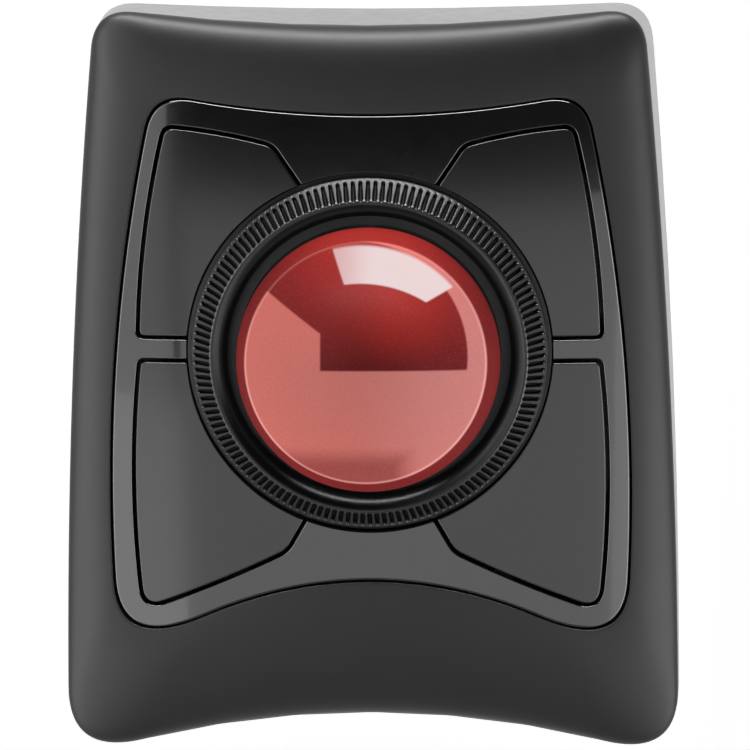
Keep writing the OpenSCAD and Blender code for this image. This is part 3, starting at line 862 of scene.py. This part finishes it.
def shells(name, ring_lists, material):
    """One object made of several closed skins."""
    verts, faces, start = [], [], 0
    for rings in ring_lists:
        count, stack = len(rings[0]), len(rings)
        part = ring_faces(stack, count, False)
        part += [tuple(range(count)), tuple(range(count * stack - 1, count * (stack - 1) - 1, -1))]
        faces += [tuple(start + i for i in f) for f in part]
        verts += rings
        start += count * stack
    obj = make_object(name, np.vstack(verts), faces, material)
    flip_out(obj)
    return sharpen(obj, 30)


def button_hinge(row, side):
    """The two arms under a button's cap, the pin they hang on, and the stem over its switch."""
    u, v0, v1 = PINS[row]
    stem = STEMS[row]
    under = crown(u) - CAP_T + INTO_CAP
    parts = [rod((u, v0, PIN_W), (u, v1, PIN_W), PIN_R)]
    for v in (v0, v1 - ARM_T):
        parts.append(block((u - EYE_R, v, PIN_W - ARM_DROP), (u + EYE_R, v + ARM_T, under)))
        parts.append(rod((u, v, PIN_W), (u, v + ARM_T, PIN_W), EYE_R))
    parts.append(rod((*stem, STEM_BOTTOM), (*stem, crown(stem[0]) - CAP_T + INTO_CAP), STEM_R))
    if side == "right":
        parts = [[ring * [-1, 1, 1] for ring in rings] for rings in parts]
    obj = shells(f"{row}_{side}_hinge", parts, MATERIALS["button_grey"])
    settle(obj, f"{row}_{side}_button", f"button_{row}_{side}")


def button_cap(row, side, corners, bows, cuts):
    loop = button_loop(corners, bows, cuts)
    if side == "right":
        loop = mirror_loop(loop)
    obj = plate(f"{row}_{side}_cap", counter_clockwise(loop), [], CAP_T, CAP_ROUNDS,
                MATERIALS["button_grey"], lambda u: crown(u) + CAP_PROUD)
    settle(obj, f"{row}_{side}_button", f"button_{row}_{side}")


# ------------------------------------------------------------------ ring and ball
RIDGE = (33.3, 4.8)
SLOPE_END = (36.8, 1.0)
RIB_COUNT = 144
# where around each slot its shape is worked out, in parts of the ribs' pitch
SLOT_STEPS = [-0.5, -0.37, -0.29, -0.23, -0.13, 0.0, 0.13, 0.23, 0.29, 0.37]
SLOT_HALF = 0.41
SLOT_DOWN = 0.05              # how far its middle lies below the middle of the slope
SLOT_PAST = 0.02              # how much each half of it is longer than half the slope
SLOT_DEPTH = 0.9
SLOT_EDGE = (0.06, 0.16)      # where the slot's rounded edge starts, and how wide it is
SLOPE_BAND = 0.35             # points this near the slope's line belong to it
INSIDE_RIDGE = 0.9            # from here inwards the ring counts as shaded
INSIDE_SHADE = 0.62
# section of the plate's track under the ring, as radius and height above the deck
TRACK = [(33.5, -3.4), (36.6, -3.4), (36.6, -6.9), (38.2, -6.9), (38.2, -1.65), (33.5, -1.65)]


def ring_profile():
    """Section of the scroll ring as radius and height above the deck."""
    corners = [(29.6, 1.2), (31.6, 0.7), (31.6, -10), (33.2, -10), (33.2, -4.65), (32.6, -4.65),
               (32.6, -3.55), (33.2, -3.55), (33.2, -1.6), (37.4, -1.6), (37.4, 0.4), SLOPE_END,
               RIDGE, (32.6, 5.0), (30.8, 3.9), (29.6, 2.1)]
    cuts = [0.2, 0.1, 0.2, 0.2, 0.1, 0.1, 0.1, 0.1, 0.2, 0.3, 0.25, 0.25, 0.3, 0.5, 0.6, 0.3]
    per_edge = [2] * len(corners)
    per_edge[corners.index(SLOPE_END)] = 20
    return polygon_path(corners, [0] * len(corners), cuts, per_edge, 2)


def revolve(profile, angles):
    """Rings of points, one for each angle, in deck coordinates (u, v, w)."""
    r = profile[:, 0][None, :] * np.ones(len(angles))[:, None]
    a = np.asarray(angles)[:, None]
    return np.stack([r * np.cos(a), r * np.sin(a), np.broadcast_to(profile[:, 1], r.shape)], -1)


def scroll_ring():
    """The ring with slots pressed into its slope, one between each two finger ribs."""
    profile = ring_profile()
    count = len(profile)
    pitch = 2 * math.pi / RIB_COUNT
    angles = np.array([(k + f) * pitch for k in range(RIB_COUNT) for f in SLOT_STEPS])
    shift = np.tile(SLOT_STEPS, RIB_COUNT) * pitch
    slope = np.array(SLOPE_END) - np.array(RIDGE)
    length = np.linalg.norm(slope)
    slope /= length
    outward = left_of(slope)
    along = (profile - RIDGE) @ slope
    on_slope = np.abs((profile - RIDGE) @ outward) < SLOPE_BAND
    middle, reach = length / 2 + SLOT_DOWN, length / 2 + SLOT_PAST
    across = shift[:, None] * profile[:, 0][None, :]
    past = np.maximum(np.abs(along[None, :] - middle) - (reach - SLOT_HALF), 0)
    edge = np.hypot(past, across) - SLOT_HALF
    sunk = np.clip((SLOT_EDGE[0] - edge) / SLOT_EDGE[1], 0, 1)
    sunk = sunk * sunk * (3 - 2 * sunk) * on_slope[None, :]
    points = revolve(profile, angles)
    move = -SLOT_DEPTH * sunk[..., None] * outward
    k = 1 + move[..., 0] / np.hypot(points[..., 0], points[..., 1])
    verts = deck_point((points[..., 0] * k).ravel(), (points[..., 1] * k).ravel(),
                       (points[..., 2] + move[..., 1]).ravel())
    obj = make_object("ribbed_ring", verts, ring_faces(len(angles), count, True),
                      MATERIALS["ring_black"])
    # painted shade for the material: the slots, and the ring inward of the ridge at INSIDE_SHADE
    inner = np.broadcast_to(profile[:, 0] < RIDGE[0] - INSIDE_RIDGE, sunk.shape)
    shade_at = np.maximum(sunk, INSIDE_SHADE * inner).ravel()
    shadow = obj.data.attributes.new("slot", "FLOAT", "POINT")
    shadow.data.foreach_set("value", shade_at.astype(np.float32))
    flip_out(obj)
    sharpen(obj, 60)
    settle(obj, "ring", "scroll_ring")


def red_ball():
    """A dense sphere, as smooth as the clear skin needs."""
    bm = bmesh.new()
    bmesh.ops.create_icosphere(bm, subdivisions=6, radius=BALL_R * MM)
    mesh = bpy.data.meshes.new("red_ball")
    bm.to_mesh(mesh)
    bm.free()
    mesh.transform(Matrix.Translation(Vector(BALL_POS * MM)))
    mesh.materials.append(MATERIALS["ball_red"])
    mesh.shade_smooth()
    obj = bpy.data.objects.new("red_ball", mesh)
    bpy.context.scene.collection.objects.link(obj)
    # its red would otherwise tint the ring and the cup
    obj.visible_diffuse = obj.visible_glossy = False
    settle(obj, "ball", "ball")


def deck_well():
    """The plate's sunken track under the ring."""
    profile = polygon_path(TRACK, [0] * len(TRACK), [0.2] * len(TRACK), 3, 3)
    angles = np.linspace(0, 2 * math.pi, 361)[:-1]
    p = revolve(profile, angles).reshape(-1, 3)
    obj = make_object("deck_well", deck_point(p[:, 0], p[:, 1], p[:, 2]),
                      ring_faces(len(angles), len(profile), True), MATERIALS["black_plastic"])
    flip_out(obj)
    sharpen(obj, 40)
    settle(obj, "case", "bezel")


# ------------------------------------------------------------------ studio
FLOOR_HALF = 6000
FLOOR_GLOW = 0.86
PANEL_Z = 700
LENS = 268.3
CAMERA_AT = (41.9, 41.3, 1200)
CAMERA_AIM = (0.1, -0.9, 0)
CAMERA_SEES = (50, 50000)     # from and to this far away


def floor():
    """A white floor seen from above only, so that views from below show the underside."""
    h = FLOOR_HALF
    n = Nodes("floor_white")
    n.set(Base_Color=n.mix(n.noise(400, 3), (0.80, 0.80, 0.80), (0.82, 0.82, 0.82)), Roughness=0.7)
    n.set(Emission_Color=(1.0, 1.0, 1.0), Emission_Strength=FLOOR_GLOW)
    clear = n.add("ShaderNodeBsdfTransparent")
    pick = n.add("ShaderNodeMixShader")
    n.put(n.add("ShaderNodeNewGeometry").outputs["Backfacing"], pick.inputs[0])
    n.tree.links.new(n.bsdf.outputs[0], pick.inputs[1])
    n.tree.links.new(clear.outputs[0], pick.inputs[2])
    n.tree.links.new(pick.outputs[0], n.out.inputs[0])
    corners = [(-h, -h, 0), (h, -h, 0), (h, h, 0), (-h, h, 0)]
    make_object("studio_floor", corners, [(0, 1, 2, 3)], n.material)


def softbox(name, centre, size, aim, radiance):
    """A rectangular light of the given size (mm) and brightness, facing aim. It shows in
    reflections only: the light that spreads comes from the world and the floor."""
    light = bpy.data.lights.new(name, "AREA")
    light.shape = "RECTANGLE"
    light.size, light.size_y = size[0] * MM, size[1] * MM
    light.energy = radiance * math.pi * light.size * light.size_y
    obj = bpy.data.objects.new(name, light)
    obj.location = Vector(centre) * MM
    obj.rotation_euler = (Vector(aim) - Vector(centre)).to_track_quat("-Z", "Y").to_euler()
    obj.visible_camera = False
    obj.visible_diffuse = False
    bpy.context.scene.collection.objects.link(obj)
    return obj


def panel(name, x0, x1, y0, y1, radiance):
    """A softbox lying level above the desk, facing down."""
    x, y = (x0 + x1) / 2, (y0 + y1) / 2
    obj = softbox(name, (x, y, PANEL_Z), (x1 - x0, y1 - y0), (x, y, 0), radiance)
    obj.rotation_euler = (0, 0, 0)


def world():
    """A soft glow, bright near the horizon and dark overhead."""
    w = bpy.data.worlds.new("studio")
    bpy.context.scene.world = w
    w.use_nodes = True
    tree = w.node_tree
    where = tree.nodes.new("ShaderNodeTexCoord")
    split = tree.nodes.new("ShaderNodeSeparateXYZ")
    ramp = tree.nodes.new("ShaderNodeMapRange")
    tree.links.new(where.outputs["Generated"], split.inputs[0])
    tree.links.new(split.outputs["Z"], ramp.inputs["Value"])
    for name, value in (("From Min", 0.05), ("From Max", 0.55), ("To Min", 0.8), ("To Max", 0.02)):
        ramp.inputs[name].default_value = value
    back = tree.nodes["Background"]
    tree.links.new(ramp.outputs[0], back.inputs["Strength"])
    back.inputs["Color"].default_value = (1, 1, 1, 1)


def camera():
    """Above the object, leaning a little to the right and to the rear, rear edge up."""
    cam = bpy.data.cameras.new("camera")
    cam.lens = LENS
    cam.clip_start, cam.clip_end = (d * MM for d in CAMERA_SEES)
    obj = bpy.data.objects.new("camera", cam)
    obj.location = Vector(CAMERA_AT) * MM
    back = (obj.location - Vector(CAMERA_AIM) * MM).normalized()
    right = Vector((0, 1, 0)).cross(back).normalized()
    obj.rotation_euler = Matrix((right, back.cross(right), back)).transposed().to_euler()
    bpy.context.scene.collection.objects.link(obj)
    bpy.context.scene.camera = obj


def studio():
    bpy.context.scene.view_settings.view_transform = "Standard"
    floor()
    world()
    panel("front_panel", -205, 205, -400, -208, 1.2)
    panel("left_panel", -620, -212, -285, 500, 1.35)
    panel("left_front_panel", -620, -205, -900, -285, 2.05)
    panel("left_outer", -1500, -620, -1200, 600, 5.0)
    panel("right_panel", 205, 620, -245, -193, 1.2)
    panel("right_front_panel", 205, 620, -900, -245, 1.9)
    panel("right_outer", 620, 1500, -1200, -150, 6.0)
    softbox("rear_light", (0, 700, 420), (900, 220), (0, 0, 30), 22)
    camera()


# ------------------------------------------------------------------ the whole object
dress_nodes()
case_top()
deck_plate()
deck_well()
scroll_ring()
red_ball()
for row, corners, bows, cuts in (("upper", UPPER_CORNERS, UPPER_BOWS, UPPER_CUTS),
                                 ("lower", LOWER_CORNERS, LOWER_BOWS, LOWER_CUTS)):
    for side in ("left", "right"):
        button_cap(row, side, corners, bows, cuts)
        button_hinge(row, side)
studio()
